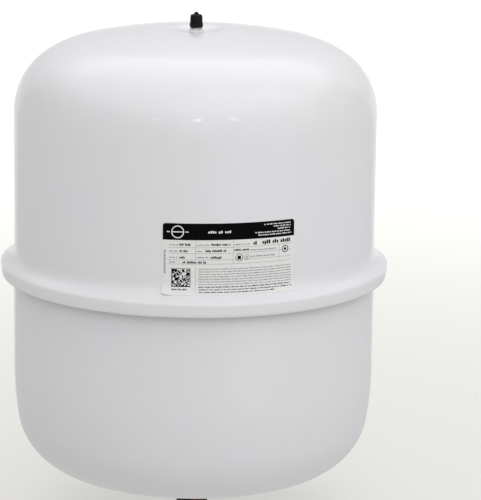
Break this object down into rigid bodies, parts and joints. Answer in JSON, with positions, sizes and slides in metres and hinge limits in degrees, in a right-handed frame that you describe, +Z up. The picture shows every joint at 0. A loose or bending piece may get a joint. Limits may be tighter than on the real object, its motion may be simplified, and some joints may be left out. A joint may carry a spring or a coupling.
{
  "type": "expansion vessel",
  "caption": "White coated steel diaphragm expansion vessel with a rolled mid seam, a bottom pipe-thread connection and a capped gas valve in a dish on top.",
  "frame": {"origin": "centre of the threaded connection's end face, the lowest point of the vessel", "axes": "+Z up the vessel's axis to the gas valve, -Y to the front, where the rating label is, +X to the right seen from the front"},
  "size_m": [0.324, 0.324, 0.4246],
  "materials": {
    "white_coating": "semi-gloss white epoxy powder coating on steel sheet",
    "bare_steel": "bare machined steel, browned, with light rust",
    "zinc_plate": "zinc-plated, slightly yellow",
    "brass": "turned, plain",
    "black_plastic": "satin moulded",
    "black_rubber": "matt",
    "seal_red": "satin",
    "label_film": "satin printed film"
  },
  "bodies": {
    "vessel": {"upper_shell": "white_coating", "lower_shell": "white_coating", "diaphragm_bead": "black_rubber", "diaphragm_wall": "black_rubber", "connection_nipple": "bare_steel", "connection_boss": "white_coating", "valve_boss": "white_coating", "valve_stem": "zinc_plate", "valve_core_plug": "brass", "valve_core_barrel": "brass", "valve_core_seal": "seal_red", "valve_core_spring": "zinc_plate", "rating_label": "label_film"},
    "diaphragm": {"diaphragm_crown": "black_rubber"},
    "valve_pin": {"valve_core_pin": "brass", "valve_core_cup": "brass", "valve_core_disc": "black_rubber"},
    "cap_washer": {"valve_cap_washer": "black_rubber"},
    "cap": {"valve_cap": "black_plastic"}
  },
  "joints": [
    {"name": "diaphragm_stroke", "type": "slide", "parent": "vessel", "child": "diaphragm", "axis": [0, 0, 1], "range_m": [0, 0.15], "deforming": ["diaphragm_wall"]},
    {"name": "valve_pin_press", "type": "slide", "parent": "vessel", "child": "valve_pin", "axis": [0, 0, -1], "range_m": [0, 0.0012], "stiffness_N_per_m": 2500, "springref_m": -0.001, "deforming": ["valve_core_spring"]},
    {"name": "valve_cap_lift", "type": "slide", "parent": "vessel", "child": "cap_washer", "axis": [0, 0, 1], "range_m": [0, 0.012]},
    {"name": "valve_cap_turn", "type": "hinge", "parent": "cap_washer", "child": "cap", "pos_m": [0, 0, 0.41179], "axis": [0, 0, 1], "range_deg": [0, 5441]}
  ],
  "couplings": [
    {"joint": "valve_cap_turn", "follows": "valve_cap_lift", "rad_per_m": 7913.3}
  ]
}
